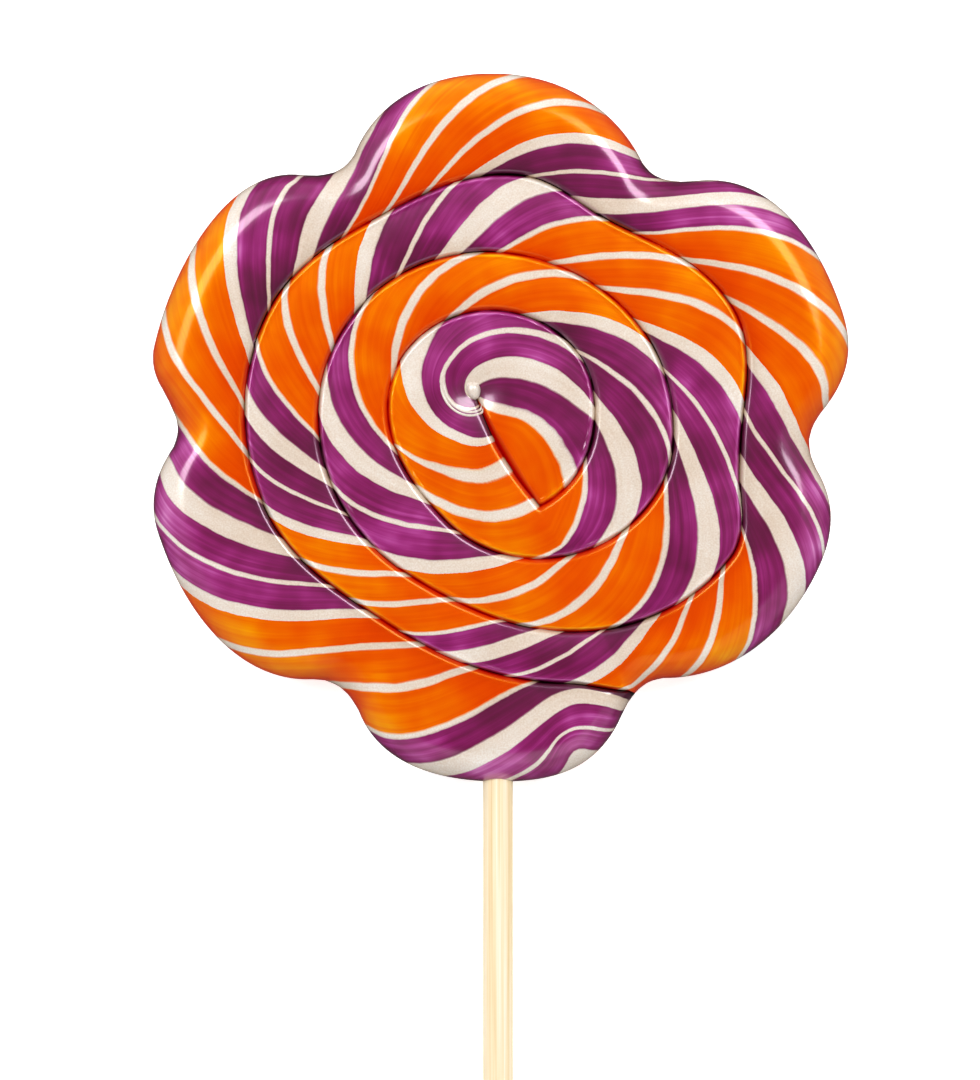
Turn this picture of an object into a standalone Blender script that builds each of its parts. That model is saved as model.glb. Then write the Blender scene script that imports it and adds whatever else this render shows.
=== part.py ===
"""A swirl lollipop: one striped rope of boiled sugar, coiled and pressed flat, on a bamboo stick.

Lengths are in metres and angles in degrees, counterclockwise from +X. The lollipop lies on its
flat back: +Z comes out of the shown side, and the stick points along -Y. The origin is on the
flat back, under the middle of the coil.
"""

import math

import bmesh
import bpy
from mathutils import Vector
from mathutils.geometry import intersect_point_line

MM = 0.001

# Driving dimensions of the head
HEAD_THICKNESS = 9.5 * MM
RIM_HEIGHT = 5.3 * MM
RIM_ROUND = 4.8 * MM
GROOVE_DEPTH = 0.5 * MM
GROOVE_ROUND = 0.35 * MM
LIP_ROUND = 0.3 * MM
CROWN = 0.3 * MM
DIMPLE_DEPTH = 0.6 * MM
DIMPLE_RADIUS = 2.4 * MM

# The dimple's place, and how far the butted end bows away from a straight line
DIMPLE_X = -3.0 * MM
DIMPLE_Y = 3.9 * MM
BUTT_BOW = 0.9 * MM

# Driving dimensions of the stick
STICK_DIAMETER = 4.0 * MM
STICK_LENGTH = 160.0 * MM
STICK_END_Y = -4.0 * MM
STICK_CHAMFER = 0.35 * MM
STICK_SIDES = 24
HOLE_GAP = 0.3 * MM
HOLE_MOUTH_Y = -60.0 * MM
HOLE_CHAMFER = 0.1 * MM

# The six petals of the outline, one a row: the notch that starts it (angle, reach in mm), its
# farthest place (angle, reach in mm), and how full its sides are before and after that place
PETALS = (
    (-3.0, 39.4, 12.9, 48.3, 1.5, 4.6),
    (56.1, 37.2, 91.7, 46.8, 2.2, 2.7),
    (122.9, 37.5, 172.8, 47.0, 7.2, 1.1),
    (179.2, 40.6, 192.1, 47.6, 1.1, 4.6),
    (239.2, 38.6, 276.9, 47.7, 4.6, 2.2),
    (298.2, 38.0, 339.6, 46.9, 2.7, 2.0),
)
NOTCH_SOFTNESS = 4.8

# The places where the spiral seam swings out or in (angle, reach in mm). It makes three turns,
# from the tip of the butted inner end out to the tail at the rim.
SEAM = (
    (-783, 12.3), (-720, 12.8), (-680, 14.1), (-578, 15.5), (-512, 13.7), (-480, 14.5),
    (-385, 23.0), (-345, 23.1), (-290, 22.4), (-210, 24.1), (-122, 23.3), (-95, 25.2),
    (-30, 35.7), (-12, 32.8), (0, 32.4), (25, 34.8), (60, 30.7), (85, 33.1),
    (120, 31.7), (153, 33.9), (200, 32.9), (240, 30.3), (285, 35.7), (297, 39.8),
)

# The mesh runs along the rope in columns and across it in rows, as shares of the rope's width
COLUMNS_A_TURN = 90
ROWS = (0.0, 0.02, 0.05, 0.2, 0.5, 0.7, 0.84, 0.93, 0.98, 1.0)

# The wall under the widest line of the rim: how far it draws in, and its height
WALL = ((0.0, 3.9), (0.15, 2.6), (0.6, 1.3), (1.3, 0.4), (2.2, 0.0))

SHARP_ANGLE = 40
CANDY_COLOUR = (0.95, 0.13, 0.004, 1.0)
BAMBOO_COLOUR = (0.84, 0.67, 0.42, 1.0)

TIP_ANGLE, TAIL_ANGLE = SEAM[0][0], SEAM[-1][0]
COLUMN_ANGLE = 360.0 / COLUMNS_A_TURN
LAST_ROW = len(ROWS) - 1
TAIL_COLUMN = round((TAIL_ANGLE - TIP_ANGLE) / COLUMN_ANGLE)
FIRST_COLUMN = -COLUMNS_A_TURN
DIMPLE = Vector((DIMPLE_X, DIMPLE_Y))


def polar(angle, reach):
    """The place at an angle and a distance from the middle of the coil."""
    turn = math.radians(angle)
    return Vector((math.cos(turn), math.sin(turn))) * reach


def petal_reach(angle):
    """The outline's distance from the middle, before its notches are softened."""
    start = PETALS[0][0]
    angle = (angle - start) % 360 + start
    for petal, following in zip(PETALS, PETALS[1:] + PETALS[:1]):
        notch, notch_reach, top, top_reach, fullness, fullness_after = petal
        end, end_reach = following[0], following[1]
        if end < notch:
            end += 360
        if notch <= angle < top:
            share = (top - angle) / (top - notch)
            return (top_reach - (top_reach - notch_reach) * share ** fullness) * MM
        if top <= angle < end:
            share = (angle - top) / (end - top)
            return (top_reach - (top_reach - end_reach) * share ** fullness_after) * MM
    raise ValueError(angle)


def rim_reach(angle):
    """The outline's distance from the middle, with each notch softened."""
    shifts = [NOTCH_SOFTNESS * step / 3 for step in range(-3, 4)]
    return sum(petal_reach(angle + shift) for shift in shifts) / len(shifts)


def seam_slope(index):
    """The seam's slope at one of its named places, level at the inner tip."""
    if index == 0:
        return 0.0
    before, after = SEAM[index - 1], SEAM[min(index + 1, len(SEAM) - 1)]
    return (after[1] - before[1]) / (after[0] - before[0])


def seam_reach(angle):
    """The spiral seam's distance from the middle, which past the tail is the outline's."""
    if angle >= TAIL_ANGLE:
        return rim_reach(angle)
    index = max(i for i, place in enumerate(SEAM[:-1]) if place[0] <= angle)
    (start, inner), (end, outer) = SEAM[index], SEAM[index + 1]
    span = end - start
    t = (angle - start) / span
    rise = t * t * (3 - 2 * t)
    lean = seam_slope(index) * t * (1 - t) ** 2 - seam_slope(index + 1) * t * t * (1 - t)
    return (inner + (outer - inner) * rise + span * lean) * MM


def butt_place(step):
    """A place on the rope's butted inner end, from the tip (step 0) to the dimple (last row)."""
    share = 1 - ROWS[LAST_ROW - step]
    tip = polar(TIP_ANGLE, seam_reach(TIP_ANGLE))
    along = DIMPLE - tip
    aside = Vector((-along.y, along.x)).normalized()
    return tip + along * share + aside * BUTT_BOW * math.sin(math.pi * share)


def butt_distance(place):
    """How far a place is from the line where the butted end meets the rope's own flank."""
    nearest = math.inf
    for step in range(LAST_ROW):
        start, end = butt_place(step), butt_place(step + 1)
        share = intersect_point_line(place, start, end)[1]
        foot = start.lerp(end, min(max(share, 0.0), 1.0))
        nearest = min(nearest, (place - foot).length)
    return nearest


def column_angle(column):
    return TIP_ANGLE + COLUMN_ANGLE * column


def inner_side(column):
    """Where a column starts: on the seam, on the butted end, or in the dimple."""
    if column >= 0:
        return polar(column_angle(column), seam_reach(column_angle(column)))
    if column > -LAST_ROW:
        return butt_place(-column)
    return DIMPLE


def outer_side(column):
    """Where a column ends: on the seam's next turn, or on the outline."""
    angle = column_angle(column) + 360
    return polar(angle, seam_reach(angle))


def rim_drop(inward):
    """How far the rounded rim falls below the top, at a distance inside the outline."""
    if inward >= RIM_ROUND:
        return 0.0
    share = (RIM_ROUND - inward) / RIM_ROUND
    return (HEAD_THICKNESS - RIM_HEIGHT) * (1 - math.sqrt(1 - share * share))


def top_place(column, row):
    """A place on the shown side, with the groove, the crown, the rim and the dimple."""
    inner, outer = inner_side(column), outer_side(column)
    across = ROWS[row]
    place = inner.lerp(outer, across)
    width = (outer - inner).length
    from_inner, from_outer = width * across, width * (1 - across)
    height = HEAD_THICKNESS + CROWN * (4 * across * (1 - across) - 1)
    if column >= 0:
        height -= GROOVE_DEPTH * math.exp(-(from_inner / GROOVE_ROUND) ** 2)
    else:
        height -= GROOVE_DEPTH * math.exp(-(butt_distance(place) / GROOVE_ROUND) ** 2)
    on_rim = column >= TAIL_COLUMN - COLUMNS_A_TURN
    if on_rim:
        height -= rim_drop(from_outer)
    else:
        height -= GROOVE_DEPTH * math.exp(-(from_outer / LIP_ROUND) ** 2)
    from_dimple = (place - DIMPLE).length
    height -= DIMPLE_DEPTH * math.exp(-(from_dimple / DIMPLE_RADIUS) ** 2)
    if on_rim and row == LAST_ROW:
        height = RIM_HEIGHT
    return Vector((place.x, place.y, height))


def shared_key(column, row):
    """The one name of a place that two turns, two columns or the rope's end share."""
    if column == TAIL_COLUMN:
        return (TAIL_COLUMN - COLUMNS_A_TURN, LAST_ROW)
    if row == LAST_ROW and column < TAIL_COLUMN - COLUMNS_A_TURN:
        return (column + COLUMNS_A_TURN, 0)
    if column == FIRST_COLUMN:
        return shared_key(row - LAST_ROW, 0)
    if row == 0 and column <= -LAST_ROW:
        return (-LAST_ROW, 0)
    return (column, row)


def material(name, colour, roughness):
    made = bpy.data.materials.new(name)
    made.use_nodes = True
    shader = made.node_tree.nodes["Principled BSDF"]
    shader.inputs["Base Color"].default_value = colour
    shader.inputs["Roughness"].default_value = roughness
    shader.inputs["Metallic"].default_value = 0.0
    return made


def add_object(name, mesh_data, surface):
    made = bpy.data.objects.new(name, mesh_data)
    bpy.context.scene.collection.objects.link(made)
    if surface:
        mesh_data.materials.append(surface)
    return made


def shown_side(mesh):
    """The top of the coil. Returns its vertices by column and row."""
    vertices = {}

    def vertex(column, row):
        key = shared_key(column, row)
        if key not in vertices:
            vertices[key] = mesh.verts.new(top_place(*key))
        return vertices[key]

    for column in range(FIRST_COLUMN, TAIL_COLUMN):
        for row in range(LAST_ROW):
            corners = [
                vertex(column, row),
                vertex(column, row + 1),
                vertex(column + 1, row + 1),
                vertex(column + 1, row),
            ]
            corners = list(dict.fromkeys(corners))
            if len(corners) > 2:
                mesh.faces.new(corners)
    return vertices


def wall_and_back(mesh, vertices):
    """The wall below the rim's widest line, closed by the flat back."""
    columns = range(TAIL_COLUMN - COLUMNS_A_TURN, TAIL_COLUMN)
    upper = [vertices[(column, LAST_ROW)] for column in columns]
    for inset, height in WALL:
        lower = []
        for column in columns:
            angle = column_angle(column) + 360
            place = polar(angle, rim_reach(angle) - inset * MM)
            lower.append(mesh.verts.new((place.x, place.y, height * MM)))
        for i, start in enumerate(upper):
            following = (i + 1) % len(upper)
            mesh.faces.new((start, lower[i], lower[following], upper[following]))
        upper = lower
    mesh.faces.new(reversed(upper))


def round_rod(name, radius, start_y, end_y, chamfer, surface):
    """A rod along Y at the head's middle height, with its two ends chamfered."""
    mesh = bmesh.new()
    stations = (
        (start_y, radius - chamfer),
        (start_y - chamfer, radius),
        (end_y + chamfer, radius),
        (end_y, radius - chamfer),
    )
    rings = []
    for y, reach in stations:
        ring = []
        for side in range(STICK_SIDES):
            turn = math.tau * side / STICK_SIDES
            x, z = reach * math.cos(turn), reach * math.sin(turn)
            ring.append(mesh.verts.new((x, y, HEAD_THICKNESS / 2 + z)))
        rings.append(ring)
    for ring, following in zip(rings, rings[1:]):
        bmesh.ops.bridge_loops(mesh, edges=loop_edges(mesh, ring) + loop_edges(mesh, following))
    mesh.faces.new(rings[0])
    mesh.faces.new(rings[-1])
    bmesh.ops.recalc_face_normals(mesh, faces=mesh.faces)
    mesh_data = bpy.data.meshes.new(name)
    mesh.to_mesh(mesh_data)
    mesh.free()
    return add_object(name, mesh_data, surface)


def loop_edges(mesh, ring):
    """The closed loop of edges through a ring of vertices, made where it is missing."""
    edges = []
    for start, end in zip(ring, ring[1:] + ring[:1]):
        edges.append(mesh.edges.get((start, end)) or mesh.edges.new((start, end)))
    return edges


def build_candy():
    """The coiled rope, fused into one piece, with a blind hole for the stick."""
    mesh = bmesh.new()
    vertices = shown_side(mesh)
    wall_and_back(mesh, vertices)
    bmesh.ops.recalc_face_normals(mesh, faces=mesh.faces)
    mesh_data = bpy.data.meshes.new("candy")
    mesh.to_mesh(mesh_data)
    mesh.free()
    candy = add_object("candy", mesh_data, material("boiled sugar", CANDY_COLOUR, 0.12))
    mesh_data.shade_smooth()
    mesh_data.set_sharp_from_angle(angle=math.radians(SHARP_ANGLE))

    radius = STICK_DIAMETER / 2 + HOLE_GAP
    start_y = STICK_END_Y + HOLE_GAP
    cutter = round_rod("stick hole", radius, start_y, HOLE_MOUTH_Y, HOLE_CHAMFER, None)
    cutter.hide_render = True
    cutter.display_type = "WIRE"
    cut = candy.modifiers.new("stick hole", "BOOLEAN")
    cut.operation = "DIFFERENCE"
    cut.solver = "EXACT"
    cut.object = cutter


def build_stick():
    """The bamboo stick, pushed into the head while the sugar was soft."""
    surface = material("bamboo", BAMBOO_COLOUR, 0.55)
    start_y, end_y = STICK_END_Y, STICK_END_Y - STICK_LENGTH
    stick = round_rod("stick", STICK_DIAMETER / 2, start_y, end_y, STICK_CHAMFER, surface)
    stick.data.shade_smooth()
    stick.data.set_sharp_from_angle(angle=math.radians(SHARP_ANGLE))


for leftover in list(bpy.data.objects):
    bpy.data.objects.remove(leftover, do_unlink=True)
build_candy()
build_stick()
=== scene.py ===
"""A swirl lollipop, lying with its shown side up: a coil of striped boiled sugar on a bamboo stick.

Lengths are in metres, and angles in degrees, counterclockwise from +X as the camera looks down.
"""

import math

import bmesh
import bpy
import numpy as np
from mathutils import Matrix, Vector


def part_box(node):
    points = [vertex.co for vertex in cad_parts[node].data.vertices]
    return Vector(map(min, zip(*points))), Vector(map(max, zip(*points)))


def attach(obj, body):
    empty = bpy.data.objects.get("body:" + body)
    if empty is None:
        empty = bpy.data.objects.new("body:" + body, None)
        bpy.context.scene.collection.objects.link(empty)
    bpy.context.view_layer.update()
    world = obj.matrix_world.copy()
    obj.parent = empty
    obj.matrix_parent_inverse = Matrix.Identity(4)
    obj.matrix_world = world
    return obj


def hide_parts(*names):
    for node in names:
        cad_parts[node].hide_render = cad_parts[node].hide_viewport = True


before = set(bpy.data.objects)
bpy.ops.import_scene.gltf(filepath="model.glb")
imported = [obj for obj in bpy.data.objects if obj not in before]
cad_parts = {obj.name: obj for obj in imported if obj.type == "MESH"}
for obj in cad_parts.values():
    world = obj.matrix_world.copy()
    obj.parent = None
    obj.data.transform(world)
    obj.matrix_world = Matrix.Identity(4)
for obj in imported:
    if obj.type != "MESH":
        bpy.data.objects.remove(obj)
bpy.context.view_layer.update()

# The head is one rope of boiled sugar. Orange, white and purple stripes were pulled and twisted
# into it, it was wound three turns from the middle out, and then pressed flat while still warm,
# so that the turns are fused along a spiral seam and the stripes lean across each turn.

MM = 0.001
candy_low, candy_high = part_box("candy")

# The pressed face: its thickness, the rounded rim that falls to the widest line, the seam's
# groove, the uneven lip just inside it, and how far each turn is crowned
HEAD_THICKNESS = candy_high.z - candy_low.z
RIM_HEIGHT = 5.3 * MM
RIM_ROUND = 4.8 * MM
GROOVE_DEPTH = 0.5 * MM
GROOVE_ROUND = 0.35 * MM
LIP_ROUND = 0.3 * MM
LIP_HEIGHT = 0.10 * MM
LIP_INSIDE = 0.45 * MM
LIP_WANDER = 0.9
CROWN = 0.3 * MM

# The slow rise and fall of the pressed face: its depth, its length, how far its first wave bends,
# and its other waves, each by how fast it runs along x and along y and by where it starts
SWELL = 0.09 * MM
SWELL_LENGTH = 17 * MM
SWELL_BEND = 0.7
SWELL_WAVES = ((-0.8, 0.6, 1.3), (0, 1.7, 0.5))

# The seam was pressed shut unevenly, in waves: each by how fast it runs along the rope and by
# where it starts. The lip has them at a pace of its own.
SEAM_WAVES = ((5.3, 0), (11.9, 2), (31.7, 4))
LIP_PACE = 1.3

# The dimple in the middle, where the rope's inner end turns down
DIMPLE = np.array((-3.0, 3.9)) * MM
DIMPLE_DEPTH = 0.6 * MM
DIMPLE_RADIUS = 2.4 * MM

# How far the butted inner end bows away from a straight line
BUTT_BOW = 0.9 * MM

# The six petals of the outline, one a row: the notch that starts it (angle, reach in mm), its
# farthest place (angle, reach in mm), and how full its sides are before and after that place. The
# notches are softened by a mean of the outline turned both ways, by up to so many degrees.
PETALS = (
    (-3.0, 39.4, 12.9, 48.3, 1.5, 4.6),
    (56.1, 37.2, 91.7, 46.8, 2.2, 2.7),
    (122.9, 37.5, 172.8, 47.0, 7.2, 1.1),
    (179.2, 40.6, 192.1, 47.6, 1.1, 4.6),
    (239.2, 38.6, 276.9, 47.7, 4.6, 2.2),
    (298.2, 38.0, 339.6, 46.9, 2.7, 2.0),
)
NOTCH_SOFTNESS, SOFT_STEPS = 4.8, 3

# The places where the spiral seam swings out or in (angle, reach in mm), from the tip of the
# butted inner end to the tail at the rim, three turns on
SEAM = (
    (-783, 12.3), (-720, 12.8), (-680, 14.1), (-578, 15.5), (-512, 13.7), (-480, 14.5),
    (-385, 23.0), (-345, 23.1), (-290, 22.4), (-210, 24.1), (-122, 23.3), (-95, 25.2),
    (-30, 35.7), (-12, 32.8), (0, 32.4), (25, 34.8), (60, 30.7), (85, 33.1),
    (120, 31.7), (153, 33.9), (200, 32.9), (240, 30.3), (285, 35.7), (297, 39.8),
)

# The mesh runs along the rope in columns, one a degree, and across it in rows, which crowd
# together towards both seams, and round the dimple towards the outer one alone
TURN = 360
SHOWN_ROWS, WALL_ROWS, BACK_ROWS = 44, 12, 12
ROW_CROWDING = 0.92
CROWDING_FADE = 20

# The wall turns in from this height on, and the back is drawn in to meet it. The back's seam is a
# faint crease.
WALL_TOP = 3.9 * MM
WALL_INSET = 2.2 * MM
INSET_FADE = 8
BACK_CREASE = 0.25 * MM
BACK_CREASE_WIDTH = 0.45 * MM

seam_angles, seam_reaches = np.array(SEAM, float).T
TIP_ANGLE, TAIL_ANGLE = int(seam_angles[0]), int(seam_angles[-1])
LAST_COLUMN = TAIL_ANGLE - TIP_ANGLE
columns = np.arange(-TURN, LAST_COLUMN + 1)
seam_slopes = np.zeros(len(SEAM))
seam_slopes[1:-1] = (seam_reaches[2:] - seam_reaches[:-2]) / (seam_angles[2:] - seam_angles[:-2])
seam_slopes[-1] = (seam_reaches[-1] - seam_reaches[-2]) / (seam_angles[-1] - seam_angles[-2])


def polar(angles, reaches):
    """The places at some angles and distances from the middle of the coil."""
    turns = np.radians(angles)
    return np.stack((np.cos(turns), np.sin(turns)), -1) * np.asarray(reaches)[..., None]


def petal_reach(angles):
    """The outline's distance from the middle, before its notches are softened."""
    start = PETALS[0][0]
    angles = (angles - start) % 360 + start
    reach = np.zeros_like(angles)
    for petal, following in zip(PETALS, PETALS[1:] + PETALS[:1]):
        notch, notch_reach, top, top_reach, fullness, fullness_after = petal
        end, end_reach = following[:2]
        if end < notch:
            end += 360
        rising = (notch <= angles) & (angles < top)
        share = (top - angles[rising]) / (top - notch)
        reach[rising] = top_reach - (top_reach - notch_reach) * share ** fullness
        falling = (top <= angles) & (angles <= end)
        share = (angles[falling] - top) / (end - top)
        reach[falling] = top_reach - (top_reach - end_reach) * share ** fullness_after
    return reach * MM


def rim_reach(angles):
    """The outline's distance from the middle, with each notch softened."""
    shifts = [NOTCH_SOFTNESS * step / SOFT_STEPS for step in range(-SOFT_STEPS, SOFT_STEPS + 1)]
    return sum(petal_reach(angles + shift) for shift in shifts) / len(shifts)


def seam_reach(angles):
    """The spiral seam's distance from the middle, which past the tail is the outline's."""
    index = np.searchsorted(seam_angles, angles, side="right") - 1
    index = np.clip(index, 0, len(SEAM) - 2)
    span = seam_angles[index + 1] - seam_angles[index]
    t = (angles - seam_angles[index]) / span
    rise = t * t * (3 - 2 * t)
    lean = seam_slopes[index] * t * (1 - t) ** 2 - seam_slopes[index + 1] * t * t * (1 - t)
    step = seam_reaches[index + 1] - seam_reaches[index]
    reach = (seam_reaches[index] + step * rise + span * lean) * MM
    return np.where(angles >= TAIL_ANGLE, rim_reach(angles), reach)


def butt_places(shares):
    """Places on the rope's butted inner end, at shares of the way from its tip to the dimple."""
    tip = polar(TIP_ANGLE, seam_reach(np.array(float(TIP_ANGLE))))
    along = DIMPLE - tip
    aside = np.array((-along[1], along[0])) / np.hypot(*along)
    shares = np.asarray(shares)[..., None]
    return tip + along * shares + aside * BUTT_BOW * np.sin(math.pi * shares)


def butt_distance(places, shares):
    """How far places are from the line where the butted end meets the rope's own flank."""
    ends = butt_places(shares)
    nearest = np.full(places.shape[:-1], np.inf)
    for start, end in zip(ends, ends[1:]):
        along = end - start
        share = np.clip((places - start) @ along / (along @ along), 0, 1)
        foot = start + share[..., None] * along
        nearest = np.minimum(nearest, np.hypot(*np.moveaxis(places - foot, -1, 0)))
    return nearest


def shared_place(column, row, last_row):
    """The one column and row of a place that two turns, two columns or the rope's end share."""
    if column == LAST_COLUMN:
        return LAST_COLUMN - TURN, last_row
    if row == last_row and column < LAST_COLUMN - TURN:
        return column + TURN, 0
    if column == -TURN:
        return shared_place(row - last_row, 0, last_row)
    if row == 0 and column <= -last_row:
        return -last_row, 0
    return column, row


def coil(last_row):
    """The coil's places seen from above, by column and row, with what each lies near."""
    t = np.arange(last_row + 1) / last_row
    shares = t - ROW_CROWDING * np.sin(math.tau * t) / math.tau
    outward = t + ROW_CROWDING * np.sin(math.pi * t) / math.pi
    from_ends = np.minimum(columns + TURN, -last_row - columns)
    across = shares + (outward - shares) * np.clip(from_ends / CROWDING_FADE, 0, 1)[:, None]
    angles = TIP_ANGLE + columns.astype(float)
    inner = polar(angles, seam_reach(angles))
    outer = polar(angles + TURN, seam_reach(angles + TURN))
    inner[columns <= -last_row] = DIMPLE
    walk = (-last_row < columns) & (columns < 0)
    inner[walk] = butt_places(shares[-columns[walk]])
    places = inner[:, None] + (outer - inner)[:, None] * across[..., None]
    width = np.hypot(*(outer - inner).T)[:, None]
    rows = range(last_row + 1)
    owners = [[shared_place(c, r, last_row) for r in rows] for c in columns]
    owners = np.array(owners)
    owners[..., 0] += TURN
    places = places[owners[..., 0], owners[..., 1]]
    return {
        "across": across,
        "angles": np.broadcast_to(angles[:, None], places.shape[:2]),
        "places": places,
        "owners": owners[..., 0] * (last_row + 1) + owners[..., 1],
        "from_inner": width * across,
        "from_outer": width * (1 - across),
        "from_butt": butt_distance(places, shares),
        "rope": np.broadcast_to((columns >= 0)[:, None], places.shape[:2]),
        "rim": np.broadcast_to((columns >= LAST_COLUMN - TURN)[:, None], places.shape[:2]),
    }


def swell(places):
    """A slow rise and fall of the pressed surface, from 0 to 1."""
    x, y = (places[..., axis] / SWELL_LENGTH * math.tau for axis in (0, 1))
    waves = [np.sin(x + SWELL_BEND * np.sin(y))]
    waves += [np.sin(x_pace * x + y_pace * y + start) for x_pace, y_pace, start in SWELL_WAVES]
    return (sum(waves) / len(waves) + 1) / 2


def unevenness(angles):
    """How the seam was pressed shut unevenly along the rope, from -1 to 1."""
    turns = np.radians(angles)
    waves = [np.sin(pace * turns + start) for pace, start in SEAM_WAVES]
    return sum(waves) / len(waves)


def shown_heights(side):
    """The heights of the shown side, with seams, lips, crown, rim and dimple."""
    across, places, rope, rim = (side[key] for key in ("across", "places", "rope", "rim"))
    height = HEAD_THICKNESS + CROWN * (4 * across * (1 - across) - 1)
    height = height - SWELL * swell(places) * 4 * across * (1 - across)
    nearest = np.where(rope, side["from_inner"], side["from_butt"])
    height -= GROOVE_DEPTH * np.exp(-(nearest / GROOVE_ROUND) ** 2)
    inward = np.clip(1 - side["from_outer"] / RIM_ROUND, 0, 1)
    drop = (HEAD_THICKNESS - RIM_HEIGHT) * (1 - np.sqrt(1 - inward ** 2))
    flank = GROOVE_DEPTH * np.exp(-(side["from_outer"] / LIP_ROUND) ** 2)
    lip = LIP_HEIGHT * (1 + LIP_WANDER * unevenness(side["angles"] * LIP_PACE))
    lip = lip * np.exp(-((side["from_outer"] - LIP_INSIDE) / LIP_ROUND) ** 2)
    height -= np.where(rim, drop, flank - lip)
    from_dimple = np.hypot(*np.moveaxis(places - DIMPLE, -1, 0))
    height -= DIMPLE_DEPTH * np.exp(-(from_dimple / DIMPLE_RADIUS) ** 2)
    height[rim & (across == 1)] = RIM_HEIGHT
    return np.minimum(height, candy_high.z)


# The stripes. One period holds three orange and three purple stripes, parted by white ones. Each
# is written with the share of the period that it ends at, and its edges are soft over so much of
# a period each way.
STRIPES = (
    ("orange", 0.132), ("white", 0.163), ("orange", 0.302), ("white", 0.333),
    ("orange", 0.481), ("white", 0.501), ("purple", 0.614), ("white", 0.697),
    ("purple", 0.811), ("white", 0.83), ("purple", 0.948), ("white", 1.0),
)
STRIPE_EDGE = 0.002

# Where along the rope each half period starts, at the middle of its width, from the first purple
# half on, and by how many degrees the stripes fall back over its width. Near the rope's flanks
# they lean a little more.
TWISTS = (
    (-770, -52), (-667, -45), (-552, -53), (-462, -40), (-398, -38), (-339, -30),
    (-284, -26), (-228, -19), (-186, -21), (-146, -20), (-101, -24), (-61, -21),
    (-33, -18), (4, -24), (41.5, -24), (79, -34), (116, -25), (153, -24),
    (187, -21), (223, -28), (263, -28), (299, -24),
)
FIRST_TWIST = 0.5
FLANK_BEND = 0.15

# The tail was pinched, so its stripes hook back from this angle on
HOOK_ANGLE = 280
HOOK, HOOK_ACROSS = 0.06, 0.10

# On the innermost turn the stripes wind into the dimple: the period's share where each starts,
# its angle about the dimple at the seam, and the turn over which it comes in by a factor e. They
# stay at least so many degrees apart, and nearer to the dimple than the last share of the way out
# they wind no further.
INNER_STRIPES = (
    (-0.39, -13, 35), (-0.30, -6, 85), (-0.19, 15, 165), (-0.17, 30, 170),
    (-0.055, 110, 130), (0.0, 155, 110), (0.13, 211, 85), (0.165, 213, 112),
    (0.30, 235, 140), (0.335, 246, 150), (0.48, 288.4, 160), (0.50, 291, 160), (0.61, 331, 160),
)
LEAST_APART = 0.5
LEAST_SHARE = 0.02

# The narrow white stripe of these winds in tighter past some factors e, faster and faster, and
# thins out there
TIGHT_STRIPE = (-0.19, -0.17)
TIGHT_FROM, TIGHTENING, TIGHTENING_POWER, THINNING = 0.75, 80, 1.2, 10

# The two stripe edges right of the butted end bow back instead: share, angle where they are
# farthest round and how far out that is, and how far they fall back outside and inside it
BOWED_STRIPES = ((-0.52, -29, 0.44, 16, 21), (-0.50, -18, 0.40, 18, 6))
BOWED_FROM, BOWED_TO = 0.16, 0.96
OUTER_BOW_POWER, INNER_BOW_POWER = 1.4, 2

# Before the first of these edges the phase falls off so many times as fast, but by no more than
# so much of a period
FIRST_SLOPE, BEFORE_FIRST = 2.5, 0.12

# The angle about the dimple that the innermost turn starts near, the angle over which the rope's
# stripes come over to that turn's, and the turn over which the back's come in by a factor e
INNER_START = -60
MEETING_FADE = 15
BACK_WIND = 60

# The stripes were laid before the rim was pressed into petals, so at a notch they are cut off
# more than squeezed, and at a petal a little is added more than they are stretched: by how much,
# the angle that the rope's width is smoothed over, and the angle over which this ends at the tail
CUT_OFF, ADDED = 0.8, 0.25
WIDTH_SMOOTHING = 10
TAIL_FADE = 30

# The white stripe behind the last purple one comes up as a patch near the rope's outer end
TAIL_PATCH = np.array((10.3, -43.3)) * MM
PATCH_REACH, PATCH_RISE = 2.9 * MM, 0.072


def laid_across(side):
    """How far across each place was before the petals were pressed."""
    width = side["from_inner"][:, -1]
    span = 3 * WIDTH_SMOOTHING
    weights = np.exp(-0.5 * (np.arange(-span, span + 1) / WIDTH_SMOOTHING) ** 2)
    padded = np.pad(width, span, mode="edge")
    smooth = np.convolve(padded, weights / weights.sum(), "valid")
    fade = np.clip((LAST_COLUMN - columns) / TAIL_FADE, 0, 1)
    wider = width / smooth - 1
    outermost = np.clip((columns - LAST_COLUMN + TURN) / TAIL_FADE, 0, 1)
    share = np.where(wider > 0, CUT_OFF + (ADDED - CUT_OFF) * outermost, CUT_OFF) * fade
    return side["across"] * (1 + share * wider)[:, None]


def rope_phase(angles, across):
    """How many periods of stripes have gone by, at places on the rope."""
    past_hook = np.clip(angles - HOOK_ANGLE, 0, None)
    angles = angles - past_hook ** 2 * (HOOK + HOOK_ACROSS * across)
    lean = (across - 0.5) * (1 + FLANK_BEND * (2 * across - 1) ** 4)
    starts, leans = np.array(TWISTS).T
    past = angles[..., None] - starts - leans * lean[..., None]
    index = np.clip((past >= 0).sum(-1) - 1, 0, len(TWISTS) - 2)
    gone = np.take_along_axis(past, index[..., None], -1)[..., 0]
    to_go = -np.take_along_axis(past, index[..., None] + 1, -1)[..., 0]
    return FIRST_TWIST + 0.5 * (index + gone / (gone + to_go))


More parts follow.
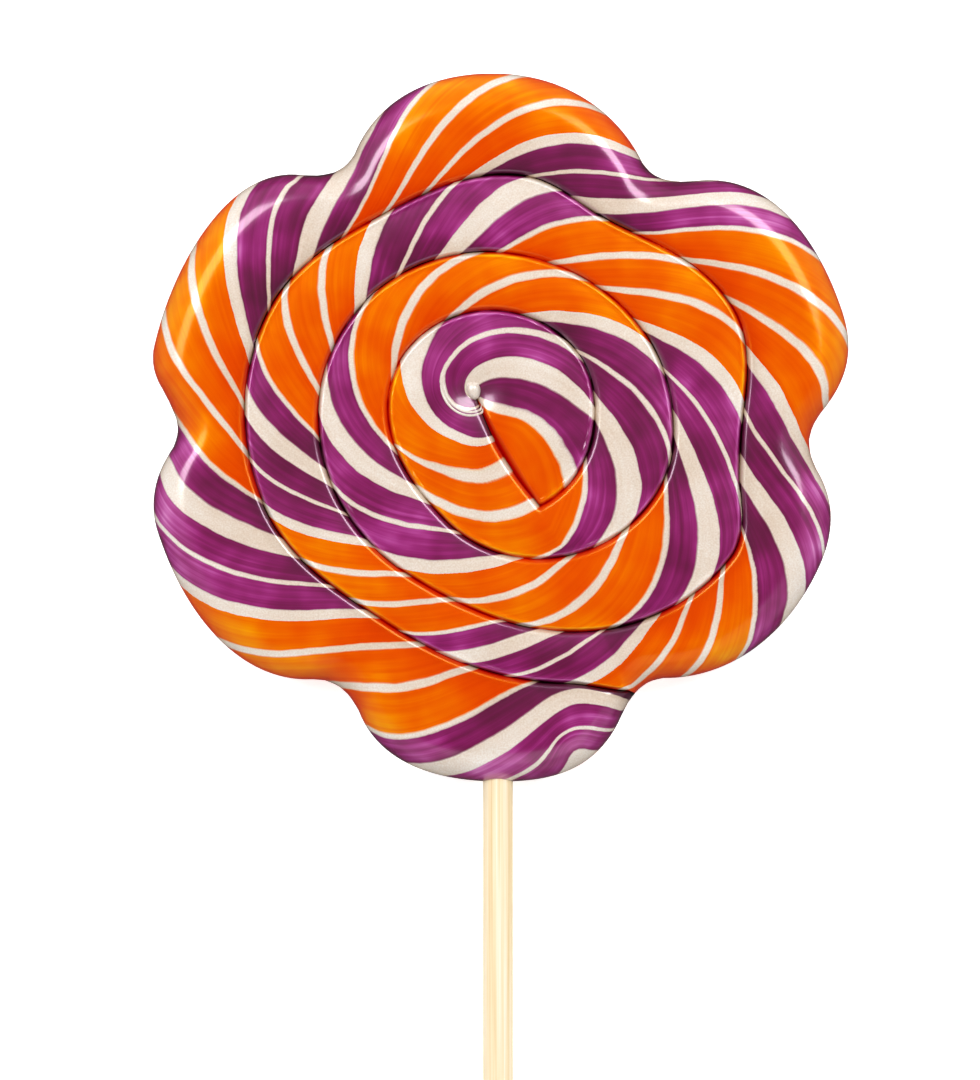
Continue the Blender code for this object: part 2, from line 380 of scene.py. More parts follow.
def inner_phase(angle, share):
    """The same on the innermost turn, by angle about the dimple and share of the way out."""
    lines = []
    for start, far_angle, far_share, outside, inside in BOWED_STRIPES:
        out = np.clip((share - far_share) / (BOWED_TO - far_share), 0, None)
        within = np.clip((far_share - share) / (far_share - BOWED_FROM), 0, None)
        fall = outside * out ** OUTER_BOW_POWER + inside * within ** INNER_BOW_POWER
        lines.append((start, far_angle - fall))
    for start, seam_angle, wind in INNER_STRIPES:
        edge = seam_angle - wind * np.log(share)
        if start in TIGHT_STRIPE:
            past = np.clip(-np.log(share) - TIGHT_FROM, 0, None)
            edge -= TIGHTENING * past ** TIGHTENING_POWER
            edge -= THINNING * past * TIGHT_STRIPE.index(start)
        lines.append((start, edge))
    starts = np.array([start for start, _ in lines])
    edges = np.stack([edge for _, edge in lines])
    for index in range(1, len(edges)):
        edges[index] = np.maximum(edges[index], edges[index - 1] + LEAST_APART)
    slopes = np.diff(starts).reshape(-1, *[1] * angle.ndim) / np.diff(edges, axis=0)
    even = 2 * slopes[1:] * slopes[:-1] / (slopes[1:] + slopes[:-1])
    even = np.concatenate((slopes[:1] * FIRST_SLOPE, even, slopes[-1:]))
    before = np.clip(edges[0] - angle, 0, None)
    phase = starts[0] - BEFORE_FIRST * (1 - np.exp(-before * even[0] / BEFORE_FIRST))
    for index in range(len(slopes)):
        gap = edges[index + 1] - edges[index]
        t = np.clip((angle - edges[index]) / gap, 0, 1)
        rise = (starts[index + 1] - starts[index]) * t * t * (3 - 2 * t)
        bend = even[index] * t * (1 - t) ** 2 - even[index + 1] * t * t * (1 - t)
        phase = np.where(angle >= edges[index], starts[index] + rise + gap * bend, phase)
    past = np.clip(angle - edges[-1], 0, None)
    return phase + past * even[-1]


def about_dimple(side):
    """On the innermost turn, the angle about the dimple, the share of the way out, and the angle
    about the coil's middle of the place on the seam that lies that way."""
    offset = side["places"] - DIMPLE
    reach = np.hypot(offset[..., 0], offset[..., 1])
    raw = np.degrees(np.arctan2(offset[..., 1], offset[..., 0]))
    inner = columns <= 0
    seam_side = np.unwrap(raw[inner, -1], period=360)
    seam_side -= 360 * round((seam_side[0] - INNER_START) / 360)
    angle = raw[inner] + 360 * np.round((seam_side[:, None] - raw[inner]) / 360)
    share = reach[inner] / np.interp(angle, seam_side, reach[inner, -1])
    share = np.clip(share, LEAST_SHARE, None)
    return angle, share, np.interp(angle, seam_side, side["angles"][inner, 0])


def joined_phase(phase, wound):
    """The rope's phase, which comes over to that of the innermost turn where the two meet."""
    meeting = wound[-1] - phase[columns == 0][0]
    fade = np.exp(-np.clip(columns, 0, None) / MEETING_FADE)[:, None]
    phase = phase + meeting * fade
    phase[columns <= 0] = wound
    return phase


def stripe_phase(side):
    """The stripes' phase on the shown side, as the turn that each place is seen on has it."""
    phase = rope_phase(side["angles"], laid_across(side))
    from_patch = np.hypot(*np.moveaxis(side["places"] - TAIL_PATCH, -1, 0))
    last_white = FIRST_TWIST + 0.5 * (len(TWISTS) - 1) - 2 * STRIPE_EDGE
    risen = phase + PATCH_RISE * np.exp(-(from_patch / PATCH_REACH) ** 2)
    phase = np.minimum(risen, np.maximum(phase, last_white))
    angle, share, _ = about_dimple(side)
    return joined_phase(phase, inner_phase(angle, share))


def back_stripe_phase(side):
    """The same on the back, where they come up half a period on, leaning the other way."""
    phase = rope_phase(side["angles"], 1 - laid_across(side)) + 0.5
    _, share, around = about_dimple(side)
    wound = rope_phase(around - BACK_WIND * np.log(share), 0 * share) + 0.5
    return joined_phase(phase, wound)


# Painted light and shade: how much darker or lighter the sugar's colour is painted than in the
# middle of a turn. Painted shade is deepest in the seams, and lies beside them and in the notches
# of the rim. Each turn is painted lighter towards its outer side and darker towards its inner one,
# most on the outermost, with a painted highlight towards the rim's shoulder, and the thin lips get
# painted highlights too. The rim's edge gets painted shade, unevenly along it, which fades down the
# wall, and the wall has painted shade of its own.
CREASE_PAINTED_SHADE, CREASE_REACH = 1.8, 0.15 * MM
CREASE_WANDER = 0.5
BESIDE_PAINTED_SHADE, BESIDE_REACH = 0.5, 1.0 * MM
LIP_PAINTED_HIGHLIGHT, LIP_REACH = 0.35, 0.16 * MM
RIM_SLOPE_PAINTED_LIGHT, TURN_SLOPE_PAINTED_LIGHT = 0.75, 0.15
EDGE_PAINTED_SHADE, EDGE_REACH = 0.5, 0.2 * MM
EDGE_WANDER, EDGE_PACE, EDGE_FADE = 0.8, 0.7, 1.0 * MM
WALL_PAINTED_SHADE = 0.25
NOTCH_PAINTED_SHADE, NOTCH_REACH = 0.6, 2.5 * MM
PETAL_RISE = 7 * MM


def crease_painted_shade(angles):
    """How deep the painted shade in the seam is along the rope."""
    return CREASE_PAINTED_SHADE * (1 + CREASE_WANDER * unevenness(angles))


def shown_painted_shading(side):
    """How much darker or lighter the sugar is painted on the shown side, as painted shade and
    highlights.
    """
    crease = np.where(side["rope"], side["from_inner"], side["from_butt"])
    outer = side["from_outer"]
    painted_shading = crease_painted_shade(side["angles"]) * np.exp(-(crease / CREASE_REACH) ** 2)
    painted_shading = painted_shading + BESIDE_PAINTED_SHADE * np.exp(-crease / BESIDE_REACH)
    painted_shading = painted_shading + np.where(side["rim"], RIM_SLOPE_PAINTED_LIGHT, TURN_SLOPE_PAINTED_LIGHT) * (0.5 - side["across"])
    lip = LIP_PAINTED_HIGHLIGHT * np.exp(-((outer - LIP_INSIDE) / LIP_REACH) ** 2)
    flank = crease_painted_shade(side["angles"] + TURN) * np.exp(-(outer / CREASE_REACH) ** 2)
    uneven = 1 + EDGE_WANDER * unevenness(side["angles"] * EDGE_PACE)
    edge = WALL_PAINTED_SHADE + EDGE_PAINTED_SHADE * uneven * np.exp(-outer / EDGE_REACH) + RIM_SLOPE_PAINTED_LIGHT / 2
    near_edge = np.exp(-outer / EDGE_REACH / 2)
    outline = rim_reach(side["angles"])
    notch = np.clip((outline.max() - outline) / PETAL_RISE, 0, 1) ** 2
    in_notch = NOTCH_PAINTED_SHADE * notch * np.exp(-outer / NOTCH_REACH)
    return painted_shading + np.where(side["rim"], edge * near_edge + in_notch, flank - lip)


def faces_of(grid, flip):
    """The faces between a grid's columns and rows, and the grid place that each corner is at."""
    faces, corners = [], []
    count = grid.shape[1]
    order = (0, 3, 2, 1) if flip else (0, 1, 2, 3)
    for column in range(grid.shape[0] - 1):
        for row in range(count - 1):
            around = ((column, row), (column, row + 1), (column + 1, row + 1), (column + 1, row))
            around = [around[i] for i in order]
            kept = {}
            for place in around:
                kept.setdefault(int(grid[place]), place)
            if len(kept) > 2:
                faces.append(tuple(kept))
                corners.extend(c * count + r for c, r in kept.values())
    return faces, corners


def used_mesh(name, points, faces):
    """A smooth mesh of some faces, with those places alone that they use."""
    used = np.unique(np.concatenate([np.array(face) for face in faces]))
    renumbered = np.zeros(len(points), int)
    renumbered[used] = np.arange(len(used))
    mesh = bpy.data.meshes.new(name)
    mesh.from_pydata(points[used], [], [tuple(renumbered[list(face)]) for face in faces])
    mesh.shade_smooth()
    return mesh


def add_values(mesh, name, values):
    """Gives a mesh one value at each corner of its faces, for its material to read."""
    attribute = mesh.attributes.new(name, "FLOAT", "CORNER")
    attribute.data.foreach_set("value", np.asarray(values, np.float32))


shown = coil(SHOWN_ROWS)
shown_phase = stripe_phase(shown)

# The back is drawn in to the foot of the wall, most of all at its outline
back = coil(BACK_ROWS)
back_reach = np.hypot(back["places"][..., 0], back["places"][..., 1])
back_angle = np.degrees(np.arctan2(back["places"][..., 1], back["places"][..., 0]))
nearness = (back_reach / rim_reach(back_angle)) ** INSET_FADE
back["places"] = back["places"] * (1 - WALL_INSET * nearness / back_reach)[..., None]
back_phase = back_stripe_phase(back)
seams = np.where(back["rope"], back["from_inner"], back["from_butt"])
far_seam = np.where(back["rim"], np.inf, back["from_outer"])
back_nearest = np.minimum(seams, far_seam)
back_heights = BACK_CREASE * np.exp(-(back_nearest / BACK_CREASE_WIDTH) ** 2)
back_heights[back["rim"] & (back["across"] == 1)] = 0

# The wall stands upright under the widest line and then turns in to the back
rim_columns = np.arange(LAST_COLUMN - TURN, LAST_COLUMN + 1) + TURN
rim_angles = TIP_ANGLE + (rim_columns - TURN).astype(float) + TURN
down = np.linspace(0, 1, WALL_ROWS + 1)
turn_in = np.sin(down * math.pi / 2)
wall_heights = np.concatenate(([RIM_HEIGHT], WALL_TOP * (1 - turn_in)))
wall_insets = np.concatenate(([0], WALL_INSET * (1 - np.cos(down * math.pi / 2))))
wall_shares = np.linspace(0, 1, WALL_ROWS + 2)
wall_places = polar(rim_angles[:, None], rim_reach(rim_angles)[:, None] - wall_insets)
wall_phase = shown_phase[rim_columns, -1:] * (1 - wall_shares)
wall_phase = wall_phase + back_phase[rim_columns, -1:] * wall_shares
# The painted light and shade: on the shown side, painted shade in the back's seams, and on the wall
# the rim edge's painted shade fading down into the wall's own painted shade
face_painted_shading = shown_painted_shading(shown)
back_painted_shade = CREASE_PAINTED_SHADE * np.exp(-back_nearest / CREASE_REACH)
wall_fade = np.exp((wall_heights - RIM_HEIGHT) / EDGE_FADE)
wall_painted_shading = WALL_PAINTED_SHADE + (face_painted_shading[rim_columns, -1:] - WALL_PAINTED_SHADE) * wall_fade

candy_places = [
    np.dstack((shown["places"], shown_heights(shown))),
    np.dstack((back["places"], back_heights)),
    np.dstack((wall_places, np.broadcast_to(wall_heights, wall_places.shape[:2]))),
]
shown_count, back_count = shown["across"].size, back["across"].size
shown_grid = shown["owners"]
back_grid = back["owners"] + shown_count
wall_grid = np.arange(wall_places[..., 0].size).reshape(wall_places.shape[:2])
wall_grid += shown_count + back_count
wall_grid[-1] = wall_grid[0]
wall_grid[:, 0] = shown_grid[rim_columns, -1]
wall_grid[:, -1] = back_grid[rim_columns, -1]
sides = (
    (shown_grid, False, shown_phase, shown["across"], face_painted_shading),
    (back_grid, True, back_phase, back["across"], back_painted_shade),
    (wall_grid, False, wall_phase, 1 + 0 * wall_phase, wall_painted_shading),
)

# Each corner carries its stripes' phase, its place across the rope and its painted light and shade
faces = []
corner_values = {"stripe_phase": [], "across": [], "painted_shading": []}
for grid, flip, phase, across, painted_shading in sides:
    made, corners = faces_of(grid, flip)
    faces += made
    for values, found in zip(corner_values.values(), (phase, across, painted_shading)):
        values.append(np.asarray(found, float).ravel()[corners])

# The finer outline stays within the solid's box
points = np.concatenate([places.reshape(-1, 3) for places in candy_places])
points = np.clip(points, candy_low, candy_high)
candy_mesh = used_mesh("coiled_candy", points, faces)
for name, values in corner_values.items():
    add_values(candy_mesh, name, np.concatenate(values))
candy = bpy.data.objects.new("coiled_candy", candy_mesh)
bpy.context.scene.collection.objects.link(candy)

# The narrow white stripe stands up at its two edges where it winds down into the dimple, as a
# double strand: its distance from the middle of the dimple by angle, and where it turns in. Its
# heights are evened out over so many places each way. The end of the core shows as a nub.
STRAND_FROM, STRAND_TO = 152, 303
STRAND_REACH, STRAND_SPREAD, STRAND_WIND = 1.6 * MM, 3.5 * MM, 90
STRAND_START = 151
TURNS_IN, TURN_IN, TURN_IN_SPAN = 285, 1.0 * MM, 24
STRAND_GAP = 0.46 * MM
STRAND_ROUND, STRAND_SUNK = 0.17 * MM, 0.07 * MM
STRAND_BLUNTNESS = 8
HEIGHTS_EVENED = 6
# The strand is painted lighter than its white stripe, as a painted highlight
STRAND_PHASE, STRAND_PAINTED_HIGHLIGHT = 0.975, -0.2
NUB_PLACE = np.array((-3.27, 4.42)) * MM
NUB_LENGTH, NUB_ROUND, NUB_LEAN = 2.5 * MM, 0.98 * MM, 105
NUB_TAPER, NUB_RINGS = 0.15, 33
# The nub is painted lighter than its white stripe too, as a painted highlight
NUB_PHASE, NUB_PAINTED_HIGHLIGHT = 0.975, -0.3
STRAND_SIDES = 16


def height_at(places):
    """The shown side's height nearest to some places, evened out along them."""
    flat = shown["places"].reshape(-1, 2)
    heights = candy_places[0][..., 2].ravel()
    found = [heights[np.argmin(((flat - place) ** 2).sum(-1))] for place in places]
    window = np.ones(2 * HEIGHTS_EVENED + 1)
    padded = np.pad(found, HEIGHTS_EVENED, mode="edge")
    return np.convolve(padded, window / window.sum(), "valid")


def strand_mesh(name, path, radii, phase, painted_shading):
    """A round strand along a path, closed where its radius comes down to nothing."""
    along = np.gradient(path, axis=0)
    aside = np.stack((-along[:, 1], along[:, 0], 0 * along[:, 0]), -1)
    aside /= np.linalg.norm(aside, axis=-1, keepdims=True)
    turn = np.arange(STRAND_SIDES) / STRAND_SIDES * math.tau
    ring = np.cos(turn)[:, None] * aside[:, None] + np.sin(turn)[:, None] * np.array((0, 0, 1.0))
    places = (path[:, None] + radii[:, None, None] * ring).reshape(-1, 3)
    grid = np.arange(len(places)).reshape(len(path), STRAND_SIDES)
    grid[0], grid[-1] = grid[0, 0], grid[-1, 0]
    made, corners = faces_of(np.hstack((grid, grid[:, :1])), False)
    mesh = used_mesh(name, places, made)
    for attribute_name, value in zip(corner_values, (phase, 0.5, painted_shading)):
        add_values(mesh, attribute_name, np.full(len(corners), value))
    return mesh


def dimple_strands():
    """The meshes of the double strand and of the nub."""
    angles = np.arange(STRAND_FROM, STRAND_TO + 1).astype(float)
    reach = STRAND_REACH + STRAND_SPREAD * np.exp((STRAND_START - angles) / STRAND_WIND)
    reach -= TURN_IN * np.clip((angles - TURNS_IN) / TURN_IN_SPAN, 0, 1) ** 2
    share = np.linspace(-1, 1, len(angles))
    radii = STRAND_ROUND * np.sqrt(1 - share ** STRAND_BLUNTNESS)
    meshes = []
    for offset in (-STRAND_GAP / 2, STRAND_GAP / 2):
        flat = DIMPLE + polar(angles, reach + offset)
        height = np.minimum(height_at(flat) - STRAND_SUNK, candy_high.z - STRAND_ROUND)
        path = np.column_stack((flat, height))
        meshes.append(strand_mesh("sugar_strand", path, radii, STRAND_PHASE, STRAND_PAINTED_HIGHLIGHT))
    share = np.linspace(-1, 1, NUB_RINGS)
    flat = NUB_PLACE + polar(np.array(float(NUB_LEAN)), share * NUB_LENGTH / 2)
    radii = NUB_ROUND * np.sqrt(1 - share ** 2) * (1 + NUB_TAPER * share)
    height = min(height_at(flat).mean(), candy_high.z - radii.max())
    path = np.column_stack((flat, np.full(len(flat), height)))
    meshes.append(strand_mesh("core_nub", path, radii, NUB_PHASE, NUB_PAINTED_HIGHLIGHT))
    return meshes


def linear(colour):
    """An sRGB colour, written as six hex digits, as linear red, green, blue and alpha."""
    channels = [int(colour[i:i + 2], 16) / 255 for i in (0, 2, 4)]
    channels = [c / 12.92 if c <= 0.04045 else ((c + 0.055) / 1.055) ** 2.4 for c in channels]
    return (*channels, 1.0)


def add_node(tree, kind, settings, links):
    """Adds a node: small-letter settings are its own, the others and the links are its inputs'."""
    made = tree.nodes.new(kind)
    for name, value in settings.items():
        if isinstance(name, str) and name.islower():
            setattr(made, name, value)
        else:
            made.inputs[name].default_value = value
    for name, source in links.items():
        tree.links.new(source, made.inputs[name])
    return made


# Pulled boiled sugar: glass-clear at its face, with stripes whose pulled air threads shine like
# silk. The whites are full of fine bubbles, which gives them a grain like pearl, and the orange
# bleeds a little into them at its borders. A period is so long, a turn so wide, and the threads,
# bubbles and paler and deeper patches so large, all in mm.
CANDY_COLOURS = {"orange": "E45600", "white": "E6D7C8", "purple": "821058"}
ORANGE_BORDER = "ECBC7C"
PERIOD_LENGTH, TURN_WIDTH = 50, 12
THREAD_WIDTH, THREAD_LENGTH = 0.9, 14
PATCH_SIZE = 7
BUBBLE_SIZE = 0.22

# How far the stripes' edges stray, as a share of a period, and how many bends they have a mm
EDGE_STRAY, BENDS_A_MM = 0.012, 0.35


def pulled_boiled_sugar():
    """The sugar's material: it reads the stripes, the place across the rope and the painted
    shading.
    """
    surface = bpy.data.materials.new("pulled_boiled_sugar")
    surface.use_nodes = True
    tree = surface.node_tree
    shader = tree.nodes["Principled BSDF"]
    phase, across, painted_shading = (
        add_node(tree, "ShaderNodeAttribute", {"attribute_name": name}, {}).outputs["Fac"]
        for name in corner_values
    )
    place = add_node(tree, "ShaderNodeTexCoord", {}, {}).outputs["Object"]
    in_mm = add_node(
        tree, "ShaderNodeVectorMath", {"operation": "SCALE", "Scale": 1 / MM}, {0: place},
    )

    # The stripes, with edges that stray a little
    bends = add_node(
        tree, "ShaderNodeTexNoise",
        {"Scale": BENDS_A_MM, "Detail": 2.0}, {"Vector": in_mm.outputs[0]},
    )
    shift = add_node(
        tree, "ShaderNodeMath",
        {"operation": "MULTIPLY_ADD", 1: EDGE_STRAY, 2: -EDGE_STRAY / 2}, {0: bends.outputs["Fac"]},
    )
    strayed = add_node(
        tree, "ShaderNodeMath", {"operation": "ADD"}, {0: phase, 1: shift.outputs[0]},
    )
    share = add_node(tree, "ShaderNodeMath", {"operation": "FRACT"}, {0: strayed.outputs[0]})
    stripes = add_node(tree, "ShaderNodeValToRGB", {}, {"Fac": share.outputs[0]})
    ramp = stripes.color_ramp
    start = 0
    for name, end in STRIPES:
        for position in (start + STRIPE_EDGE, end - STRIPE_EDGE):
            ramp.elements.new(position).color = linear(CANDY_COLOURS[name])
        if end < FIRST_TWIST:
            ramp.elements.new(end).color = linear(ORANGE_BORDER)
        start = end
    ramp.elements.remove(ramp.elements[0])
    ramp.elements.remove(ramp.elements[-1])
    parts = add_node(tree, "ShaderNodeSeparateColor", {}, {"Color": stripes.outputs["Color"]})

    # Threads along the stripes, bubbles, and paler and deeper patches
    threads_across = add_node(
        tree, "ShaderNodeMath",
        {"operation": "MULTIPLY", 1: PERIOD_LENGTH / THREAD_WIDTH}, {0: phase},
    )
    threads_along = add_node(
        tree, "ShaderNodeMath",
        {"operation": "MULTIPLY", 1: TURN_WIDTH / THREAD_LENGTH}, {0: across},
    )
    threads_at = add_node(
        tree, "ShaderNodeCombineXYZ", {},
        {"X": threads_across.outputs[0], "Y": threads_along.outputs[0]},
    )
    threads = add_node(
        tree, "ShaderNodeTexNoise",
        {"Scale": 1.0, "Detail": 4.0, "Roughness": 0.55}, {"Vector": threads_at.outputs[0]},
    )
    bubbles = add_node(
        tree, "ShaderNodeTexNoise",
        {"Scale": 1 / BUBBLE_SIZE, "Detail": 2.0}, {"Vector": in_mm.outputs[0]},
    )
    patches = add_node(
        tree, "ShaderNodeTexNoise",
        {"Scale": 1 / PATCH_SIZE, "Detail": 2.0}, {"Vector": in_mm.outputs[0]},
    )

    # How strongly each of these deepens the colour: the bubbles in the white alone, and the other
    # two least in the orange and the white
    whiteness = add_node(
        tree, "ShaderNodeMapRange",
        {"From Min": 0.2, "From Max": 0.5, "To Min": 0.0, "To Max": 1.0},
        {"Value": parts.outputs["Blue"]},
    )
    silk = add_node(
        tree, "ShaderNodeMapRange",
        {"From Min": 0.3, "From Max": 0.7, "To Min": 0.24, "To Max": -0.24, "clamp": False},
        {"Value": threads.outputs["Fac"]},
    )
    most_on_purple = add_node(
        tree, "ShaderNodeMapRange",
        {"From Min": 0.3, "From Max": 1.0, "To Min": 1.0, "To Max": 0.4},
        {"Value": parts.outputs["Red"]},
    )
    silk = add_node(
        tree, "ShaderNodeMath",
        {"operation": "MULTIPLY"}, {0: silk.outputs[0], 1: most_on_purple.outputs[0]},
    )
    grain = add_node(
        tree, "ShaderNodeMapRange",
        {"From Min": 0.3, "From Max": 0.7, "To Min": 0.35, "To Max": -0.25, "clamp": False},
        {"Value": bubbles.outputs["Fac"]},
    )
    grain = add_node(
        tree, "ShaderNodeMath",
        {"operation": "MULTIPLY"}, {0: grain.outputs[0], 1: whiteness.outputs[0]},
    )
    patch = add_node(
        tree, "ShaderNodeMapRange",
        {"From Min": 0.3, "From Max": 0.7, "To Min": 0.36, "To Max": -0.36, "clamp": False},
        {"Value": patches.outputs["Fac"]},
    )
    patch = add_node(
        tree, "ShaderNodeMath",
        {"operation": "MULTIPLY"}, {0: patch.outputs[0], 1: most_on_purple.outputs[0]},
    )
    # The threads, bubbles and patches deepen or pale the colour, and so does the painted light and
    # shade: painted shade in the seams, notches and at the rim's edge, painted highlights on the
    # lips and the rim's shoulder
    deepening_and_painted_shading = painted_shading
    for part in (silk, grain, patch):
        deepening_and_painted_shading = add_node(
            tree, "ShaderNodeMath", {"operation": "ADD"}, {0: deepening_and_painted_shading, 1: part.outputs[0]},
        ).outputs[0]
    deepening_and_painted_shading = add_node(tree, "ShaderNodeMath", {"operation": "ADD", 1: 1.0}, {0: deepening_and_painted_shading})
    body = add_node(
        tree, "ShaderNodeGamma", {}, {"Color": stripes.outputs["Color"], "Gamma": deepening_and_painted_shading.outputs[0]},
    )

    # Painted shade: where the painted shading is deep, in and beside the seams, in the notches and
    # at the rim's edge, the colour is darkened as well, least in the orange
    redness = add_node(
        tree, "ShaderNodeMath",
        {"operation": "SUBTRACT"}, {0: parts.outputs["Red"], 1: parts.outputs["Blue"]},
    )
    darkest = add_node(
        tree, "ShaderNodeMapRange",
        {"From Min": 0.3, "From Max": 0.7, "To Min": 0.35, "To Max": 0.55},
        {"Value": redness.outputs[0]},
    )
    shade = add_node(
        tree, "ShaderNodeMapRange",
        {"From Min": 0.3, "From Max": 2.4, "To Min": 1.0},
        {"Value": painted_shading, "To Max": darkest.outputs[0]},
    )
    shaded = add_node(
        tree, "ShaderNodeVectorMath", {"operation": "SCALE"},
        {0: body.outputs[0], "Scale": shade.outputs[0]},
    )
    tree.links.new(shaded.outputs[0], shader.inputs["Base Color"])

    # The shine takes on the stripe's colour, and is dull down in the seams and weak on the orange
    open_face = add_node(
        tree, "ShaderNodeMapRange",
        {"From Min": 0.9, "From Max": 1.7, "To Min": 1.0, "To Max": 0.0}, {"Value": painted_shading},
    )
    sheen = add_node(tree, "ShaderNodeGamma", {"Gamma": 0.22}, {"Color": stripes.outputs["Color"]})
    sheen = add_node(
        tree, "ShaderNodeVectorMath", {"operation": "SCALE"},
        {0: sheen.outputs[0], "Scale": open_face.outputs[0]},
    )
    tree.links.new(sheen.outputs[0], shader.inputs["Specular Tint"])
    gloss = add_node(
        tree, "ShaderNodeMapRange",
        {"From Min": 0.0, "From Max": 0.08, "To Min": 0.2, "To Max": 0.95},
        {"Value": parts.outputs["Blue"]},
    )
    gloss = add_node(
        tree, "ShaderNodeMath",
        {"operation": "MULTIPLY"}, {0: gloss.outputs[0], 1: open_face.outputs[0]},
    )
    tree.links.new(gloss.outputs[0], shader.inputs["Coat Weight"])

    # The threads stand out a little
    ripple = add_node(
        tree, "ShaderNodeBump",
        {"Strength": 0.35, "Distance": 0.03 * MM}, {"Height": threads.outputs["Fac"]},
    )
    tree.links.new(ripple.outputs[0], shader.inputs["Normal"])
    shader.inputs["Roughness"].default_value = 0.3
    shader.inputs["IOR"].default_value = 1.58
    shader.inputs["Coat IOR"].default_value = 1.58
    shader.inputs["Specular IOR Level"].default_value = 1.0
    shader.inputs["Coat Roughness"].default_value = 0.14
    shader.inputs["Subsurface Weight"].default_value = 0.15
    shader.inputs["Subsurface Radius"].default_value = (1.0, 0.8, 0.65)
    shader.inputs["Subsurface Scale"].default_value = 0.6 * MM
    return surface


candy_mesh.materials.append(pulled_boiled_sugar())
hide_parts("candy")
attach(candy, "root")

# The stick is split bamboo, sanded round, with its fibres running along it. It was pushed into
# the sugar while that was soft, so the sugar closes tightly round it.

stick_low, stick_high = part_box("stick")
STICK_RADIUS = (stick_high.x - stick_low.x) / 2
STICK_MIDDLE = (stick_high.z + stick_low.z) / 2
STICK_CHAMFER = 0.35 * MM
STICK_SIDES = 120
STICK_RINGS = 60
END_RING = 0.4

# The fibres are waves round the stick, by how many there are of each kind. Each kind drifts by up
# to this share of its own width along the stick.
FIBRE_DEPTH = 0.035 * MM
FIBRE_COUNTS = (9, 14, 23, 31, 44)
FIBRE_DRIFT = 0.6
fibres = np.random.default_rng(7)


def fibre_relief(sides, rings):
    """How deep the gaps between the fibres are, round the stick and along it, from 0 to 1."""
    around = np.arange(sides) / sides * math.tau
    along = np.linspace(0, 1, rings)
    relief = np.zeros((rings, sides))
    for count in FIBRE_COUNTS:
        start, drift = fibres.uniform(0, math.tau), fibres.uniform(-FIBRE_DRIFT, FIBRE_DRIFT)
        relief += np.sin(count * around + start + drift * along[:, None] * math.tau)
    return 0.5 + relief / (2 * len(FIBRE_COUNTS))


def bamboo_stick():
    """The stick's mesh: rings of fibres along it, and a chamfer and a flat cut at each end."""
    relief = fibre_relief(STICK_SIDES, STICK_RINGS)
    y = np.linspace(stick_high.y - STICK_CHAMFER, stick_low.y + STICK_CHAMFER, STICK_RINGS)
    radii = STICK_RADIUS - FIBRE_DEPTH * relief
    stations = [(stick_high.y, radii[0] * 0), (stick_high.y, radii[0] * END_RING)]
    stations += [(stick_high.y, radii[0] - STICK_CHAMFER)]
    stations += list(zip(y, radii))
    stations += [(stick_low.y, radii[-1] - STICK_CHAMFER)]
    stations += [(stick_low.y, radii[-1] * END_RING), (stick_low.y, radii[-1] * 0)]
    turn = np.arange(STICK_SIDES) / STICK_SIDES * math.tau
    vertices = []
    for place, reach in stations:
        x, z = reach * np.cos(turn), STICK_MIDDLE + reach * np.sin(turn)
        vertices.append(np.stack((x, np.full_like(x, place), z), -1))
    grid = np.arange(len(stations) * STICK_SIDES).reshape(len(stations), STICK_SIDES)
    grid[0], grid[-1] = grid[0, 0], grid[-1, 0]
    made, _ = faces_of(np.hstack((grid, grid[:, :1])), False)
    mesh = used_mesh("bamboo_stick", np.concatenate(vertices), made)
    mesh.set_sharp_from_angle(angle=math.radians(30))
    return mesh


# Split bamboo, sanded: pale straw with darker fibre lines, dull, with a faint shine along the
# fibres and dark fibre ends where it is cut. The fibres' size is in mm, and each colour, from the
# palest on, is at its own place in their noise.
BAMBOO_COLOURS = ((0.68, "FCF1DA"), (0.5, "F8E3BA"), (0.32, "EBCD98"))
FIBRE_WIDTH = 0.35
FIBRE_LENGTH = 45


def split_bamboo():
    """The stick's material, with its grain drawn out along the stick."""
    surface = bpy.data.materials.new("split_bamboo")
    surface.use_nodes = True
    tree = surface.node_tree
    shader = tree.nodes["Principled BSDF"]
    place = add_node(tree, "ShaderNodeTexCoord", {}, {}).outputs["Object"]
    sizes = (FIBRE_WIDTH, FIBRE_LENGTH, FIBRE_WIDTH)
    stretched = add_node(
        tree, "ShaderNodeVectorMath",
        {"operation": "MULTIPLY", 1: [1 / MM / size for size in sizes]}, {0: place},
    )
    grain = add_node(
        tree, "ShaderNodeTexNoise",
        {"Scale": 1.0, "Detail": 4.0, "Roughness": 0.6}, {"Vector": stretched.outputs[0]},
    )
    tones = add_node(tree, "ShaderNodeValToRGB", {}, {"Fac": grain.outputs["Fac"]})
    for position, colour in BAMBOO_COLOURS:
        tones.color_ramp.elements.new(position).color = linear(colour)
    tones.color_ramp.elements.remove(tones.color_ramp.elements[0])
    tones.color_ramp.elements.remove(tones.color_ramp.elements[-1])
    tree.links.new(tones.outputs["Color"], shader.inputs["Base Color"])
    ripple = add_node(
        tree, "ShaderNodeBump",
        {"Strength": 0.4, "Distance": 0.04 * MM}, {"Height": grain.outputs["Fac"]},
    )
    tree.links.new(ripple.outputs[0], shader.inputs["Normal"])
    shader.inputs["Roughness"].default_value = 0.5
    shader.inputs["IOR"].default_value = 1.48
    return surface


stick_mesh = bamboo_stick()
stick_mesh.materials.append(split_bamboo())
stick = bpy.data.objects.new("bamboo_stick", stick_mesh)
bpy.context.scene.collection.objects.link(stick)
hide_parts("stick")
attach(stick, "root")

